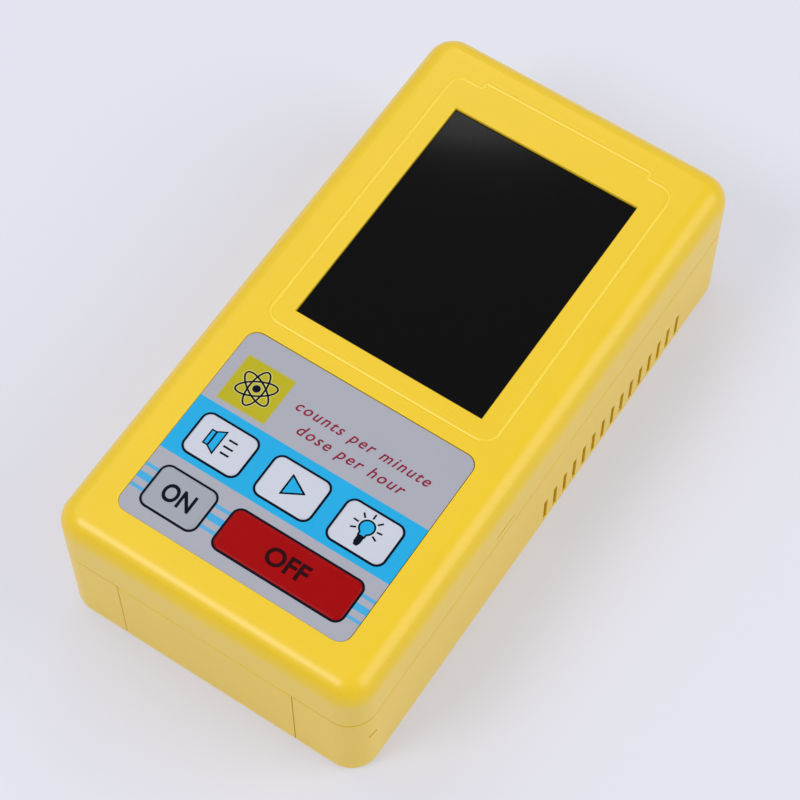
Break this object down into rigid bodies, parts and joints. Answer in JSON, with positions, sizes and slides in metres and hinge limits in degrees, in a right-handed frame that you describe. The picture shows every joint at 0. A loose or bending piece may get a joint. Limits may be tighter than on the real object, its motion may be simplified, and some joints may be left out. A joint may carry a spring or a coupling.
{
  "type": "geiger counter",
  "caption": "Handheld radiation counter with a display window, membrane keys, side vents over its detector tube and a sliding battery door.",
  "frame": {"origin": "centre of the back face, on the surface that the counter lies on", "axes": "+X to the right seen from the front, +Y towards the display end, +Z out of the front face"},
  "size_m": [0.08, 0.155, 0.0422],
  "materials": {
    "case_yellow": "smooth moulded ABS, satin gloss",
    "foam": "closed-cell foam",
    "window": "clear polished acrylic, lightly smoked",
    "panel_black": "unlit display panel",
    "bezel_steel": "tinned sheet",
    "board_red": "solder mask",
    "board_green": "solder mask",
    "chip_black": "moulded epoxy",
    "pin_brass": "plated",
    "screw_steel": "zinc plated",
    "overlay_print": "printed polyester film, fine matt texture",
    "film": "polyester film",
    "connector_ivory": "moulded nylon",
    "key_white": "embossed printed film",
    "key_grey": "embossed printed film",
    "key_red": "embossed printed film",
    "ferrite": "ferrite core with winding",
    "capacitor_blue": "shrink sleeve",
    "ceramic_tan": "ceramic chips",
    "tube_glass": "clear tube glass",
    "cathode_metal": "tin oxide and steel sleeve",
    "cell_wrap": "printed sleeve",
    "contact_nickel": "nickel plated spring steel",
    "lead_black": "insulated lead"
  },
  "bodies": {
    "case": {"upper_shell": "case_yellow", "lower_shell": "case_yellow", "display_glass": "window", "display_gasket": "foam", "display_panel": "panel_black", "display_bezel": "bezel_steel", "display_board": "board_red", "display_driver": "chip_black", "display_header": "chip_black", "header_pins": "pin_brass", "header_socket": "chip_black", "display_screws": "screw_steel", "keypad_overlay": "overlay_print", "keypad_spacer": "film", "keypad_circuit": "film", "keypad_tail": "film", "tail_connector": "connector_ivory", "dome_sound": "screw_steel", "dome_play": "screw_steel", "dome_light": "screw_steel", "dome_on": "screw_steel", "dome_off": "screw_steel", "main_board": "board_green", "board_screws": "screw_steel", "microcontroller": "chip_black", "hv_inductor": "ferrite", "hv_capacitor": "capacitor_blue", "smd_parts": "ceramic_tan", "buzzer": "chip_black", "detector_glass": "tube_glass", "detector_cathode": "cathode_metal", "detector_anode": "screw_steel", "detector_caps": "bezel_steel", "detector_clips": "pin_brass", "battery_cell_left": "cell_wrap", "battery_cell_middle": "cell_wrap", "battery_cell_right": "cell_wrap", "flat_contacts": "contact_nickel", "spring_contacts": "contact_nickel", "battery_lead": "lead_black", "case_screws": "screw_steel"},
    "door": {"battery_door": "case_yellow", "door_pad": "foam"},
    "sound_button": {"key_sound": "key_white"},
    "play_button": {"key_play": "key_white"},
    "light_button": {"key_light": "key_white"},
    "on_button": {"key_on": "key_grey"},
    "off_button": {"key_off": "key_red"}
  },
  "joints": [
    {"name": "door_slide", "type": "slide", "parent": "case", "child": "door", "axis": [0, -1, 0], "range_m": [0, 0.064]},
    {"name": "press_sound", "type": "slide", "parent": "case", "child": "sound_button", "axis": [0, 0, -1], "range_m": [0, 0.0003], "stiffness_N_per_m": 400, "deforming": ["dome_sound"]},
    {"name": "press_play", "type": "slide", "parent": "case", "child": "play_button", "axis": [0, 0, -1], "range_m": [0, 0.0003], "stiffness_N_per_m": 400, "deforming": ["dome_play"]},
    {"name": "press_light", "type": "slide", "parent": "case", "child": "light_button", "axis": [0, 0, -1], "range_m": [0, 0.0003], "stiffness_N_per_m": 400, "deforming": ["dome_light"]},
    {"name": "press_on", "type": "slide", "parent": "case", "child": "on_button", "axis": [0, 0, -1], "range_m": [0, 0.0003], "stiffness_N_per_m": 400, "deforming": ["dome_on"]},
    {"name": "press_off", "type": "slide", "parent": "case", "child": "off_button", "axis": [0, 0, -1], "range_m": [0, 0.0003], "stiffness_N_per_m": 400, "deforming": ["dome_off"]}
  ]
}
